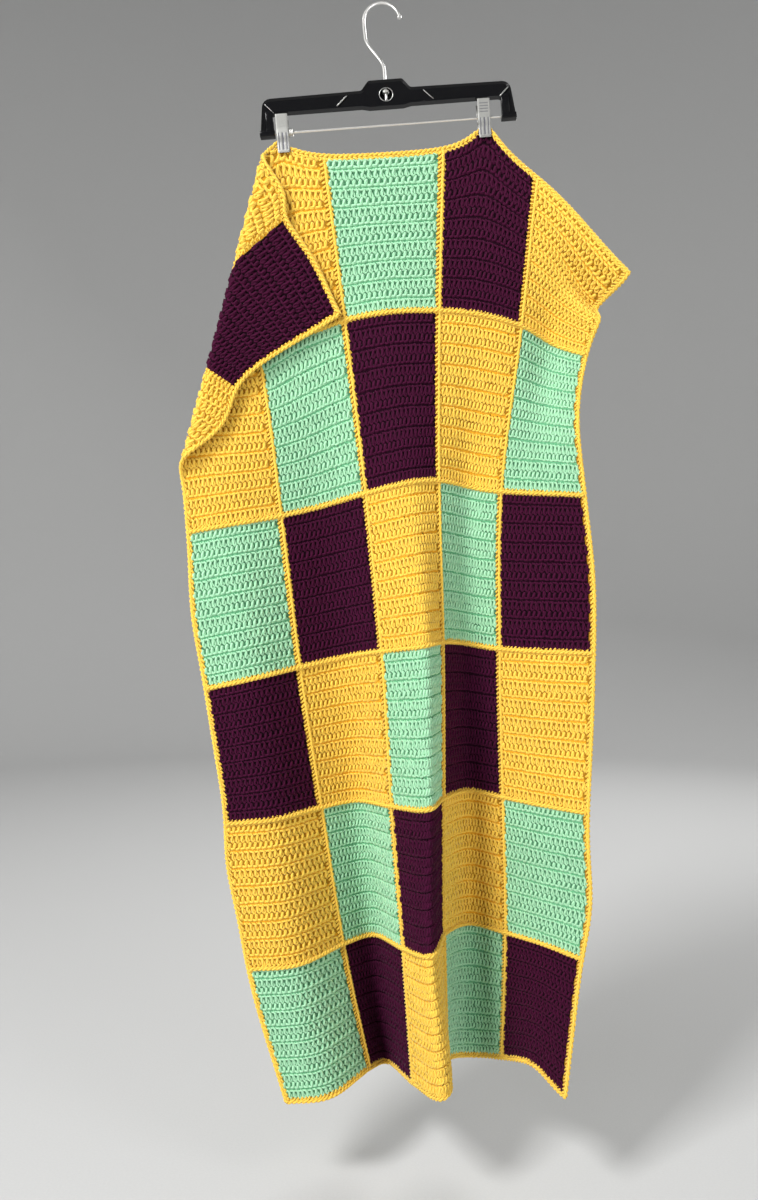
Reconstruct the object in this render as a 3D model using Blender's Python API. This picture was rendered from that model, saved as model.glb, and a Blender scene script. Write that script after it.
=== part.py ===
"""Crochet blanket of thirty squares, clipped along its top edge to a trouser hanger that hangs by its hook.

Metres, +Z up. The origin is inside the top of the hook's crook, where a peg would carry it. +X is to the
right and -Y towards whoever looks at the front. The hanger hangs a little crooked, left end down, so its
pieces are built level and hang from one tilted empty. The blanket is built where it hangs: its middle surface
is worked out from the tables of its seams, its top left corner is turned over to the front round a straight
fold, and Solidify gives it its thickness.
"""

import math

import bmesh
import bpy
import numpy as np
from mathutils import Matrix, Vector

MM = 0.001
GAP = 0.0004

# Hanger, level, measured from the top of the crook
TILT = math.radians(4.4)
BEAM_HALF = 0.171
BEAM_TOP = -0.1200
BEAM_BOTTOM = -0.1412
BEAM_DEPTH = 0.011
BEAM_CORNER = 0.012
HUMP_HALF = 0.0235
HUMP_TOP = -0.1070
HUMP_BOTTOM = -0.1435
HUMP_FOOT = 0.034
LEG_OUT = 0.177
LEG_IN = 0.1645
LEG_BOTTOM = -0.1720
LEG_CORNER = 0.0036
RECESS_RIM = 0.0028
RECESS_DEPTH = 0.0022
WINDOW_RADIUS = 0.009
WINDOW_Z = -0.1267

# Wire hook
WIRE_RADIUS = 0.0022
STEM_BORE = 0.0027
STEM_FOOT = -0.1235
STEM_STRAIGHT = -0.0900
CROOK_RADIUS = 0.0250
CROOK_CENTRE = (0.0020, -0.0228)
CROOK_END = math.radians(12)
FOOT_FLARE = 2.0
TIP_FLARE = 1.45

# Rod and clips
ROD_RADIUS = 0.0016
ROD_BORE = 0.0020
ROD_HALF = 0.1715
ROD_Z = -0.1675
CLIP_WIDTH = 0.0170
CLIP_PLATE = 0.0012
CLIP_AT = {"left": -0.1465, "right": 0.1325}
SPRING_OUTER = 0.0043
SPRING_INNER = 0.0021
SPRING_HALF = 0.0062

# The jaw seen from its end: how far its inner face stands from the cloth's middle, at heights from the rod
JAW = (
    {"name": "lip", "height": -0.0290, "stand": 0.0046},
    {"name": "bite", "height": -0.0262, "stand": 0.0027},
    {"name": "throat", "height": -0.0135, "stand": 0.0027},
    {"name": "shoulder", "height": -0.0070, "stand": 0.0054},
    {"name": "pivot", "height": 0.0040, "stand": 0.0058},
    {"name": "lever", "height": 0.0250, "stand": 0.0102},
)

# Blanket
SQUARES_ACROSS = 5
SQUARES_DOWN = 6
SHEET = 0.0040
RIDGE = 0.0068
RIDGE_SHARE = 0.05
FOLD_RADIUS = 0.009
FLAP_CLEARANCE = 0.0105
FLAP_SETTLE = 0.050
PLUMB_START = 1.0

# Where the six upright lines of the cloth cross each level seam, in millimetres: across from the hook, and
# down. The lines are the left edge, the four upright seams and the right edge. The top left corner is given
# laid flat, before it is turned over.
CROSSINGS = (
    {"seam": "top edge", "across": (-365, -228, -76, 89, 219, 334), "down": (353, 281, 226, 215, 252, 385)},
    {"seam": "first", "across": (-286, -165, -47, 84, 198, 289), "down": (514, 498, 440, 427, 445, 484)},
    {"seam": "second", "across": (-260, -136, -18, 82, 172, 283), "down": (732, 708, 678, 660, 673, 681)},
    {"seam": "third", "across": (-234, -111, 3, 86, 171, 291), "down": (946, 919, 896, 883, 894, 898)},
    {"seam": "fourth", "across": (-203, -82, 17, 87, 176, 280), "down": (1127, 1117, 1109, 1098, 1104, 1112)},
    {"seam": "fifth", "across": (-174, -51, 34, 88, 180, 265), "down": (1320, 1311, 1300, 1284, 1296, 1301)},
    {"seam": "hem", "across": (-123, -13, 47, 88, 175, 241), "down": (1494, 1480, 1476, 1456, 1472, 1470)},
)

# How far the cloth stands in front of the hook at each of those lines and half way between them, in
# millimetres. "crest" is how far the fold in the middle column leans to the right of the column's middle.
FOLDS = (
    {"seam": "top edge", "front": (0, 0, 0, 0, 0, 0, 0, 0, 4, 22, 44), "crest": 0},
    {"seam": "first", "front": (0, 0, -3, -3, -2, 4, 0, -4, -8, -28, -6), "crest": 0},
    {"seam": "second", "front": (10, 10, -8, -18, 0, 20, 0, -28, -20, -6, 6), "crest": 4},
    {"seam": "third", "front": (20, 20, -20, -38, 0, 38, 0, -48, -30, -4, 16), "crest": 12},
    {"seam": "fourth", "front": (30, 26, -30, -58, 4, 56, 0, -62, -35, 2, 32), "crest": 12},
    {"seam": "fifth", "front": (36, 32, -36, -68, 14, 70, 0, -70, -37, 10, 54), "crest": 6},
    {"seam": "hem", "front": (40, 40, -30, -76, 22, 86, 0, -76, -40, 18, 78), "crest": 13},
)

# Peaks where the clips pull the top edge up: "at" is the place along the edge in squares, "lift" is metres, and
# "along" and "down" are how far the peak reaches, in squares
CLIP_PEAKS = (
    {"clip": "left", "at": 1.60, "lift": 0.050, "along": 0.30, "down": 0.35},
    {"clip": "right", "at": 3.43, "lift": 0.056, "along": 0.28, "down": 0.35},
)

# Places where the cloth is drawn aside from the smooth run of the tables. "at" and "reach" are in squares
# across and down; the shifts are in metres across, to the front and down, and fade away from the place.
PULLS = (
    {"name": "below the right tip", "at": (5.0, 0.34), "reach": (0.55, 0.20), "shift": (-0.014, -0.042, 0)},
    {"name": "right edge, row two", "at": (5.0, 1.5), "reach": (0.50, 0.40), "shift": (-0.008, 0, 0)},
    {"name": "right edge, row three", "at": (5.0, 2.5), "reach": (0.50, 0.40), "shift": (0.005, 0, 0)},
    {"name": "beside the left clip", "at": (1.24, 0.0), "reach": (0.22, 0.30), "shift": (-0.022, 0, -0.006)},
    {"name": "turned corner", "at": (0.5, 0.0), "reach": (0.40, 0.40), "shift": (0, 0, -0.010)},
    {"name": "the fold's foot", "at": (0.0, 1.28), "reach": (0.50, 0.26), "shift": (-0.025, 0, -0.006)},
    {"name": "left edge, row three", "at": (0.0, 2.5), "reach": (0.40, 0.35), "shift": (-0.006, 0, 0)},
    {"name": "hem, column two", "at": (1.5, 6.0), "reach": (0.36, 0.80), "shift": (-0.006, 0, 0.018)},
    {"name": "hem's middle fold", "at": (2.74, 6.0), "reach": (0.20, 0.70), "shift": (0.011, 0.012, 0)},
    {"name": "hem, column four", "at": (3.5, 6.0), "reach": (0.36, 0.80), "shift": (0.004, 0, 0.023)},
    {"name": "hem, column five", "at": (4.5, 6.0), "reach": (0.36, 0.80), "shift": (0, 0, -0.017)},
)

# Fold line of the turned-over corner, seen from the front
FOLD_TOP = (-0.1565, -0.2030)
FOLD_FOOT = (-0.2756, -0.6586)

PLASTIC = {"name": "black_plastic", "colour": (0.012, 0.012, 0.013), "roughness": 0.22, "metallic": 0.0}
STEEL = {"name": "plated_steel", "colour": (0.62, 0.62, 0.60), "roughness": 0.28, "metallic": 1.0}
YARN = {"name": "yarn", "colour": (0.83, 0.48, 0.06), "roughness": 0.90, "metallic": 0.0}


def make_material(spec):
    """Principled material of one colour, roughness and metallic value."""
    material = bpy.data.materials.new(spec["name"])
    material.use_nodes = True
    shader = material.node_tree.nodes["Principled BSDF"]
    shader.inputs["Base Color"].default_value = (*spec["colour"], 1.0)
    shader.inputs["Roughness"].default_value = spec["roughness"]
    shader.inputs["Metallic"].default_value = spec["metallic"]
    return material


def add_object(name, data, material, parent=None):
    """Link an object, dress it and hang it from its parent."""
    data.materials.append(material)
    obj = bpy.data.objects.new(name, data)
    bpy.context.collection.objects.link(obj)
    obj.parent = parent
    return obj


def mesh_from(bm, name, smooth_angle=40):
    """Turn a bmesh into a mesh with faces outward, smooth but for its sharp edges."""
    bmesh.ops.recalc_face_normals(bm, faces=bm.faces)
    mesh = bpy.data.meshes.new(name)
    bm.to_mesh(mesh)
    bm.free()
    mesh.shade_smooth()
    mesh.set_sharp_from_angle(angle=math.radians(smooth_angle))
    return mesh


def rounded(corners, steps=4):
    """Outline through (x, z, radius) corners, each turned by an arc tangent to both of its sides."""
    outline = []
    for i, (x, z, radius) in enumerate(corners):
        here = Vector((x, z))
        back = (Vector(corners[i - 1][:2]) - here).normalized()
        ahead = (Vector(corners[(i + 1) % len(corners)][:2]) - here).normalized()
        if radius == 0:
            outline.append(here)
            continue
        half = back.angle(ahead) / 2
        centre = here + (back + ahead).normalized() * radius / math.sin(half)
        start = here + back * radius / math.tan(half) - centre
        finish = here + ahead * radius / math.tan(half) - centre
        turn = start.angle_signed(finish)
        for k in range(steps + 1):
            arm = start.copy()
            arm.rotate(Matrix.Rotation(-turn * k / steps, 2))
            outline.append(centre + arm)
    return outline


def prism(outline, depth):
    """Solid with this outline in X and Z, half its depth in front and half behind."""
    bm = bmesh.new()
    face = bm.faces.new([bm.verts.new((p.x, -depth / 2, p.y)) for p in outline])
    swept = bmesh.ops.extrude_face_region(bm, geom=[face])
    moved = [v for v in swept["geom"] if isinstance(v, bmesh.types.BMVert)]
    bmesh.ops.translate(bm, verts=moved, vec=(0, depth, 0))
    bmesh.ops.recalc_face_normals(bm, faces=bm.faces)
    return bm


def cut(obj, cutter):
    """Take the cutter's shape out of the object, and keep the cutter as a hidden guide."""
    cutter.hide_render = True
    cutter.display_type = "WIRE"
    boolean = obj.modifiers.new(cutter.name, "BOOLEAN")
    boolean.operation = "DIFFERENCE"
    boolean.solver = "EXACT"
    boolean.object = cutter


def cylinder(name, radius, start, end, material, parent, segments=20):
    """Round bar from start to end."""
    start, end = Vector(start), Vector(end)
    bm = bmesh.new()
    bmesh.ops.create_cone(bm, cap_ends=True, segments=segments, radius1=radius, radius2=radius,
                          depth=(end - start).length)
    turn = Vector((0, 0, 1)).rotation_difference(end - start).to_matrix().to_4x4()
    bmesh.ops.transform(bm, matrix=Matrix.Translation((start + end) / 2) @ turn, verts=bm.verts)
    return add_object(name, mesh_from(bm, name), material, parent)


def build_beam(plastic, parent):
    """Moulded beam with a hump over the window, a leg at each end and bores for the stem and the rod."""
    right = [
        (HUMP_HALF, HUMP_TOP, 0.005),
        (HUMP_FOOT, BEAM_TOP, 0.006),
        (BEAM_HALF, BEAM_TOP - 0.0015, BEAM_CORNER),
        (LEG_OUT, LEG_BOTTOM, LEG_CORNER),
        (LEG_IN, LEG_BOTTOM, LEG_CORNER),
        (LEG_IN - 0.004, BEAM_BOTTOM, 0.007),
        (HUMP_FOOT, BEAM_BOTTOM, 0.006),
        (HUMP_HALF, HUMP_BOTTOM, 0.006),
    ]
    left = [(-x, z, r) for x, z, r in reversed(right)]
    bm = prism(rounded(right + left), BEAM_DEPTH)
    for side in (-1, 1):
        face = next(f for f in bm.faces if len(f.verts) > 8 and f.calc_center_median().y * side > 0)
        bmesh.ops.inset_region(bm, faces=[face], thickness=RECESS_RIM, use_even_offset=True)
        bmesh.ops.translate(bm, verts=face.verts, vec=(0, -side * RECESS_DEPTH, 0))
    beam = add_object("hanger_beam", mesh_from(bm, "hanger_beam", 30), plastic, parent)
    reach = BEAM_DEPTH
    cut(beam, cylinder("window_cutter", WINDOW_RADIUS, (0, -reach, WINDOW_Z), (0, reach, WINDOW_Z),
                       plastic, parent, 28))
    cut(beam, cylinder("stem_cutter", STEM_BORE, (0, 0, WINDOW_Z), (0, 0, HUMP_TOP + 0.01),
                       plastic, parent, 16))
    cut(beam, cylinder("rod_cutter", ROD_BORE, (-ROD_HALF - GAP, 0, ROD_Z), (ROD_HALF + GAP, 0, ROD_Z),
                       plastic, parent, 16))


def hook_route():
    """Centre line of the hook as (x, z, radius factor): flared foot, stem, side bend, crook, flared tip."""
    cx, cz = CROOK_CENTRE
    side = cx - CROOK_RADIUS
    route = [(0, STEM_FOOT, FOOT_FLARE), (0, STEM_FOOT + 0.0030, FOOT_FLARE), (0, STEM_FOOT + 0.0034, 1)]
    route += [(0, STEM_FOOT + (STEM_STRAIGHT - STEM_FOOT) * share, 1) for share in (0.4, 0.7, 1.0)]
    bend_steps = 12
    for k in range(1, bend_steps):
        share = k / bend_steps
        ease = share * share * (3 - 2 * share)
        route.append((side * ease, STEM_STRAIGHT + (cz - 0.020 - STEM_STRAIGHT) * share, 1))
    route.append((side, cz - 0.010, 1))
    arc_steps = 22
    for k in range(arc_steps + 1):
        angle = math.pi + (CROOK_END - math.pi) * k / arc_steps
        route.append((cx + CROOK_RADIUS * math.cos(angle), cz + CROOK_RADIUS * math.sin(angle), 1))
    tip_x, tip_z, _ = route[-1]
    route += [(tip_x + 0.0001, tip_z - 0.0010, TIP_FLARE), (tip_x + 0.0004, tip_z - 0.0035, TIP_FLARE)]
    return route


def build_hook(steel, parent):
    """Wire hook with a flared foot that turns in the beam's window."""
    curve = bpy.data.curves.new("hook", "CURVE")
    curve.dimensions = "3D"
    curve.bevel_depth = WIRE_RADIUS
    curve.bevel_resolution = 3
    curve.use_fill_caps = True
    route = hook_route()
    spline = curve.splines.new("POLY")
    spline.points.add(len(route) - 1)
    for point, (x, z, factor) in zip(spline.points, route):
        point.co = (x, 0, z, 1)
        point.radius = factor
    add_object("hook", curve, steel, parent)


def build_clip(side, x, steel, parent):
    """Spring clip: two sheet jaws, mirror images front and back, and a spring's sleeve between them."""
    for name, facing in (("front", -1), ("back", 1)):
        inner = [Vector((facing * p["stand"], ROD_Z + p["height"])) for p in JAW]
        outer = [Vector((v.x + facing * CLIP_PLATE, v.y)) for v in reversed(inner)]
        bm = bmesh.new()
        face = bm.faces.new([bm.verts.new((x - CLIP_WIDTH / 2, v.x, v.y)) for v in inner + outer])
        swept = bmesh.ops.extrude_face_region(bm, geom=[face])
        moved = [v for v in swept["geom"] if isinstance(v, bmesh.types.BMVert)]
        bmesh.ops.translate(bm, verts=moved, vec=(CLIP_WIDTH, 0, 0))
        node = f"clip_{side}_{name}"
        add_object(node, mesh_from(bm, node, 20), steel, parent)
    node = f"clip_{side}_spring"
    ends = (x - SPRING_HALF, 0, ROD_Z), (x + SPRING_HALF, 0, ROD_Z)
    spring = cylinder(node, SPRING_OUTER, *ends, steel, parent)
    beyond = (x - 2 * SPRING_HALF, 0, ROD_Z), (x + 2 * SPRING_HALF, 0, ROD_Z)
    cut(spring, cylinder(f"{side}_spring_cutter", SPRING_INNER, *beyond, steel, parent, 16))


def along(rows, place, flat_start=False):
    """Smooth curve through evenly spaced rows of values: each stretch is a cubic whose slope at a row is half
    the step between that row's neighbours. With flat_start the curve leaves the first row level."""
    rows = np.asarray(rows, float)
    before = rows[1] if flat_start else 2 * rows[0] - rows[1]
    padded = np.concatenate([before[None], rows, (2 * rows[-1] - rows[-2])[None]])
    cell = np.clip(np.floor(place).astype(int), 0, len(rows) - 2)
    t = (place - cell).reshape(place.shape + (1,) * (rows.ndim - 1))
    a, b, c, d = (padded[cell + k] for k in range(4))
    return b + 0.5 * t * (c - a + t * (2 * a - 5 * b + 4 * c - d + t * (3 * (b - c) + d - a)))


def surface_value(table, u, v, columns_per_square=1, flat_start=False):
    """Value at u squares across and v squares down, from a table with a row for each level seam."""
    by_row = along(np.asarray(table, float), v, flat_start)
    stretch = along(by_row.T, u * columns_per_square)
    return np.diagonal(stretch)


def laid_surface(u, v):
    """Middle surface of the hung cloth, top left corner not yet turned over, as points in metres."""
    across = surface_value([row["across"] for row in CROSSINGS], u, v) * MM
    down = surface_value([row["down"] for row in CROSSINGS], u, v) * MM
    front = surface_value([row["front"] for row in FOLDS], u, v, 2, True) * MM
    lean = along([row["crest"] for row in FOLDS], v) * MM
    across += lean * np.exp(-((u - 2.5) / 0.35) ** 2)
    for peak in CLIP_PEAKS:
        down -= peak["lift"] * np.exp(-np.abs(u - peak["at"]) / peak["along"] - v / peak["down"])
    for pull in PULLS:
        (at_u, at_v), (reach_u, reach_v) = pull["at"], pull["reach"]
        near = np.exp(-((u - at_u) / reach_u) ** 2 - ((v - at_v) / reach_v) ** 2)
        across += pull["shift"][0] * near
        front += pull["shift"][1] * near
        down += pull["shift"][2] * near
    return across, front, down


def fold_frame():
    """Direction down the fold, direction square to it towards the corner, and the roll's centre line."""
    top = Vector(FOLD_TOP)
    down = (Vector(FOLD_FOOT) - top).normalized()
    outward = Vector((down.y, -down.x))
    return down, outward, top - outward * FOLD_RADIUS


def cut_lines(bm, steps=6):
    """Cut the laid cloth along lines parallel to the fold, so that the roll round it is smooth."""
    _, outward, centre = fold_frame()
    for k in range(steps + 1):
        at = centre + outward * (math.pi * FOLD_RADIUS * k / steps)
        bmesh.ops.bisect_plane(bm, geom=bm.verts[:] + bm.edges[:] + bm.faces[:], dist=0.00002,
                               plane_co=(at.x, 0, at.y), plane_no=(outward.x, 0, outward.y))


def turn_over(bm):
    """Roll what lies beyond the fold to the front: half a turn of FOLD_RADIUS, then flat, near the cloth."""
    _, outward, centre = fold_frame()
    half_turn = math.pi * FOLD_RADIUS
    for vert in bm.verts:
        beyond = (Vector((vert.co.x, vert.co.z)) - centre).dot(outward)
        if beyond <= 0:
            continue
        if beyond < half_turn:
            place = FOLD_RADIUS * math.sin(beyond / FOLD_RADIUS)
            forward = FOLD_RADIUS * (1 - math.cos(beyond / FOLD_RADIUS))
        else:
            past = beyond - half_turn
            place = -past
            settled = 1 - math.exp(-past / FLAP_SETTLE)
            forward = 2 * FOLD_RADIUS + (FLAP_CLEARANCE - 2 * FOLD_RADIUS) * settled
        shift = outward * (place - beyond)
        vert.co += Vector((shift.x, -forward, shift.y))


def square_stops(inner):
    """Stops across one square, as shares of it: the seam's ridge takes a share at each end."""
    return [0.0] + [RIDGE_SHARE + (1 - 2 * RIDGE_SHARE) * k / inner for k in range(inner + 1)]


def build_blanket(yarn):
    """One draped sheet: laid out from the tables, folded at its corner, thick at its seams."""
    across = np.array([i + s for i in range(SQUARES_ACROSS) for s in square_stops(5)] + [SQUARES_ACROSS])
    down = np.array([j + s for j in range(SQUARES_DOWN) for s in square_stops(4)] + [SQUARES_DOWN])
    u, v = (g.ravel() for g in np.meshgrid(across, down))
    x, front, fall = laid_surface(u, v)
    plumb = v * v / (v + PLUMB_START)
    front = front - plumb * front.mean() / plumb.mean()
    bm = bmesh.new()
    on_seam = bm.verts.layers.float.new("seam")
    verts = []
    for i in range(len(u)):
        vert = bm.verts.new((x[i], -front[i], -fall[i]))
        inside = 0 < u[i] < SQUARES_ACROSS and 0 < v[i] < SQUARES_DOWN
        vert[on_seam] = 1.0 if inside and (u[i] % 1 == 0 or v[i] % 1 == 0) else 0.0
        verts.append(vert)
    wide = len(across)
    for j in range(len(down) - 1):
        for i in range(wide - 1):
            at = j * wide + i
            bm.faces.new((verts[at], verts[at + wide], verts[at + wide + 1], verts[at + 1]))
    cut_lines(bm)
    turn_over(bm)
    bmesh.ops.triangulate(bm, faces=bm.faces)
    seams = [vert[on_seam] for vert in bm.verts]
    mesh = bpy.data.meshes.new("blanket")
    bm.to_mesh(mesh)
    bm.free()
    mesh.shade_smooth()
    blanket = add_object("blanket", mesh, yarn)
    group = blanket.vertex_groups.new(name="seams")
    for index, weight in enumerate(seams):
        group.add([index], SHEET / RIDGE + (1 - SHEET / RIDGE) * weight, "REPLACE")
    solidify = blanket.modifiers.new("thickness", "SOLIDIFY")
    solidify.thickness = RIDGE
    solidify.offset = 0
    solidify.use_even_offset = True
    solidify.vertex_group = group.name
    solidify.thickness_vertex_group = 0


def main():
    """Clear the scene and build every piece."""
    for old in list(bpy.data.objects):
        bpy.data.objects.remove(old, do_unlink=True)
    plastic, steel, yarn = (make_material(spec) for spec in (PLASTIC, STEEL, YARN))
    swivel = bpy.data.objects.new("swivel_axis", None)
    swivel.rotation_euler = (0, -TILT, 0)
    bpy.context.collection.objects.link(swivel)
    build_hook(steel, swivel)
    build_beam(plastic, swivel)
    cylinder("rod", ROD_RADIUS, (-ROD_HALF, 0, ROD_Z), (ROD_HALF, 0, ROD_Z), steel, swivel, 16)
    for side, x in CLIP_AT.items():
        build_clip(side, x, steel, swivel)
    build_blanket(yarn)


main()
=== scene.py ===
"""Looks of a crocheted patchwork blanket and of the clip hanger that it hangs from.

The blanket's hung surface is a function of two parameters, u squares across and v squares down. Real strands
of yarn are worked over it: rows of stitches in each square, a yellow round about each square, ropes of yarn
along the seams and the outer edge, and a thin ground cloth behind them that closes the gaps, coloured in
darker copies of the yarns as painted shade between the stitches. The yarns carry painted shade between their
plies too. The hanger's beam, hook and rod keep their solids under better finishes, with the beam's small
forms added, its fine ribs and window ring in a lighter metal as painted highlights, and the clips get pressed
jaws, eyes and coil springs, the jaws' grooves darkened as painted shade.
"""

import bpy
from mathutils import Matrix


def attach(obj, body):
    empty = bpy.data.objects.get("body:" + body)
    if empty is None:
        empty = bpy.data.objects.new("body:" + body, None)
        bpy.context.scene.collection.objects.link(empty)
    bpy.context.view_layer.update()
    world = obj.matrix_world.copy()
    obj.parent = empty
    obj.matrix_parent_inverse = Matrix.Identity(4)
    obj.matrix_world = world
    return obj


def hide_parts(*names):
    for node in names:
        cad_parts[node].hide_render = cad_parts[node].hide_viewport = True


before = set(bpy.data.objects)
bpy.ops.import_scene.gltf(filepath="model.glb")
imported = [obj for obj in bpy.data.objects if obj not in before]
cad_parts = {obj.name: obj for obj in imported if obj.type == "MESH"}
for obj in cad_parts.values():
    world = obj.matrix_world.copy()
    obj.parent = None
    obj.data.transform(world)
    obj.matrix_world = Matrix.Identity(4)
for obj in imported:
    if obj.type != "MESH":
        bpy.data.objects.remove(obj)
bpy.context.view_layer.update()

import logging
import math
from dataclasses import dataclass, field
from enum import Enum
from typing import Any

import bpy
import numpy as np

Array = np.ndarray
Patch = tuple[Array, list[Array], list[Array]]

LOG = logging.getLogger("blanket")
MM = 0.001
SEED = 11

SQUARES_ACROSS = 5
SQUARES_DOWN = 6

# Hanger, level, measured from the top of the crook
TILT = math.radians(4.4)
ROD_Z = -0.1675
CLIP_WIDTH = 0.0170
CLIP_AT = {"left": -0.1465, "right": 0.1325}

# Where the six upright lines of the cloth cross each level seam, from the top edge to the hem, in millimetres
# across from the hook, and down. The top left corner is given laid flat, before it is turned over.
ACROSS = np.array((
    (-365, -228, -76, 89, 219, 334),
    (-286, -165, -47, 84, 198, 289),
    (-260, -136, -18, 82, 172, 283),
    (-234, -111, 3, 86, 171, 291),
    (-203, -82, 17, 87, 176, 280),
    (-174, -51, 34, 88, 180, 265),
    (-123, -13, 47, 88, 175, 241),
), float)
FALL = np.array((
    (353, 281, 226, 215, 252, 385),
    (514, 498, 440, 427, 445, 484),
    (732, 708, 678, 660, 673, 681),
    (946, 919, 896, 883, 894, 898),
    (1127, 1117, 1109, 1098, 1104, 1112),
    (1320, 1311, 1300, 1284, 1296, 1301),
    (1494, 1480, 1476, 1456, 1472, 1470),
), float)

# How far the cloth stands in front of the hook at each of those lines and half way between them, in
# millimetres, and how far the middle column's fold leans to the right
FRONT = np.array((
    (0, 0, 0, 0, 0, 0, 0, 0, 4, 22, 44),
    (0, 0, -3, -3, -2, 4, 0, -4, -8, -28, -6),
    (10, 10, -8, -18, 0, 20, 0, -28, -20, -6, 6),
    (20, 20, -20, -38, 0, 38, 0, -48, -30, -4, 16),
    (30, 26, -30, -58, 4, 56, 0, -62, -35, 2, 32),
    (36, 32, -36, -68, 14, 70, 0, -70, -37, 10, 54),
    (40, 40, -30, -76, 22, 86, 0, -76, -40, 18, 78),
), float)
CREST = np.array((0, 0, 4, 12, 12, 6, 13), float)


@dataclass(frozen=True)
class Peak:
    """Place where a clip pulls the top edge up: place in squares, lift, reaches, and spread below it."""

    at: float
    lift: float
    along: float
    down: float
    spread: float = 0.6


@dataclass(frozen=True)
class Pull:
    """Place where the cloth is drawn aside: place and reach in squares, shift across, forward and down."""

    at: tuple[float, float]
    reach: tuple[float, float]
    shift: tuple[float, float, float]


PEAKS = (Peak(1.60, 0.050, 0.30, 0.35), Peak(3.43, 0.056, 0.28, 0.35))
PULLS = (
    Pull((5.0, 0.34), (0.55, 0.20), (-0.014, -0.042, 0)),
    Pull((5.0, 1.5), (0.50, 0.40), (-0.008, 0, 0)),
    Pull((5.0, 2.5), (0.50, 0.40), (0.005, 0, 0)),
    Pull((1.24, 0.0), (0.22, 0.30), (-0.022, 0, -0.006)),
    Pull((0.5, 0.0), (0.40, 0.40), (0, 0, -0.010)),
    Pull((0.0, 1.28), (0.50, 0.26), (-0.025, 0, -0.006)),
    Pull((0.0, 2.5), (0.40, 0.35), (-0.006, 0, 0)),
    Pull((0.0, 4.28), (0.40, 0.30), (-0.007, 0, 0)),
    Pull((5.0, 4.62), (0.45, 0.36), (0.009, 0, 0)),
    Pull((1.5, 6.0), (0.36, 0.80), (-0.006, 0, 0.018)),
    Pull((1.35, 1.0), (0.32, 0.25), (0, 0, -0.009)),
    Pull((2.74, 6.0), (0.20, 0.70), (0.011, 0.012, 0)),
    Pull((3.5, 6.0), (0.36, 0.80), (0.004, 0, 0.023)),
    Pull((4.5, 6.0), (0.36, 0.80), (0, 0, -0.017)),
)


class Wool(Enum):
    """The three yarns, in the order in which they follow each other down every diagonal."""

    PURPLE = 0
    YELLOW = 1
    MINT = 2


class Side(Enum):
    """The four sides of a square."""

    LEFT = "left"
    RIGHT = "right"
    TOP = "top"
    BOTTOM = "bottom"


def unit(vectors: Array) -> Array:
    """Vectors, held by the last axis, divided by their own lengths."""
    return vectors / np.maximum(np.linalg.norm(vectors, axis=-1, keepdims=True), 1e-12)


def smooth_step(value: Array | float, low: float, high: float) -> Array:
    """Zero up to low, one from high, and 3 t squared less 2 t cubed between them."""
    t = np.clip((np.asarray(value, float) - low) / (high - low), 0, 1)
    return t * t * (3 - 2 * t)


def band(value: Array, rise: tuple[float, float], fall: tuple[float, float]) -> Array:
    """One between two smooth steps, one up and one down, and zero outside them."""
    return smooth_step(value, *rise) * (1 - smooth_step(value, *fall))


def hang_level(points: Array) -> Array:
    """Points of the level hanger as it hangs: x cos a - z sin a, y and x sin a + z cos a for the tilt a."""
    c, s = math.cos(TILT), math.sin(TILT)
    x, y, z = np.moveaxis(points, -1, 0)
    return np.stack([x * c - z * s, y, x * s + z * c], -1)


def cubic(a: Array, b: Array, c: Array, d: Array, t: Array) -> Array:
    """Curve from b at t = 0 to c at t = 1 whose slope at each is half the step between its neighbours."""
    return b + 0.5 * t * (c - a + t * (2 * a - 5 * b + 4 * c - d + t * (3 * (b - c) + d - a)))


def table_value(table: Array, u: Array, v: Array, per_square: int = 1, flat_start: bool = False) -> Array:
    """Smooth surface through a table: a cubic along each of the four nearest rows, then a cubic across them.

    Args:
        table: Rows for the level seams, columns for the upright lines.
        u: Squares across.
        v: Squares down.
        per_square: Columns of the table for each square.
        flat_start: Whether the surface leaves the first row level.

    Returns:
        The table's value at each u and v.
    """
    before = table[1] if flat_start else 2 * table[0] - table[1]
    rows = np.vstack([before, table, 2 * table[-1] - table[-2]])
    cells = np.hstack([2 * rows[:, :1] - rows[:, 1:2], rows, 2 * rows[:, -1:] - rows[:, -2:-1]])
    row = np.clip(np.floor(v).astype(int), 0, table.shape[0] - 2)
    column = np.clip(np.floor(u * per_square).astype(int), 0, table.shape[1] - 2)
    share = u * per_square - column
    along = [cubic(*(cells[row + i, column + k] for k in range(4)), share) for i in range(4)]
    return cubic(*along, v - row)


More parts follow.
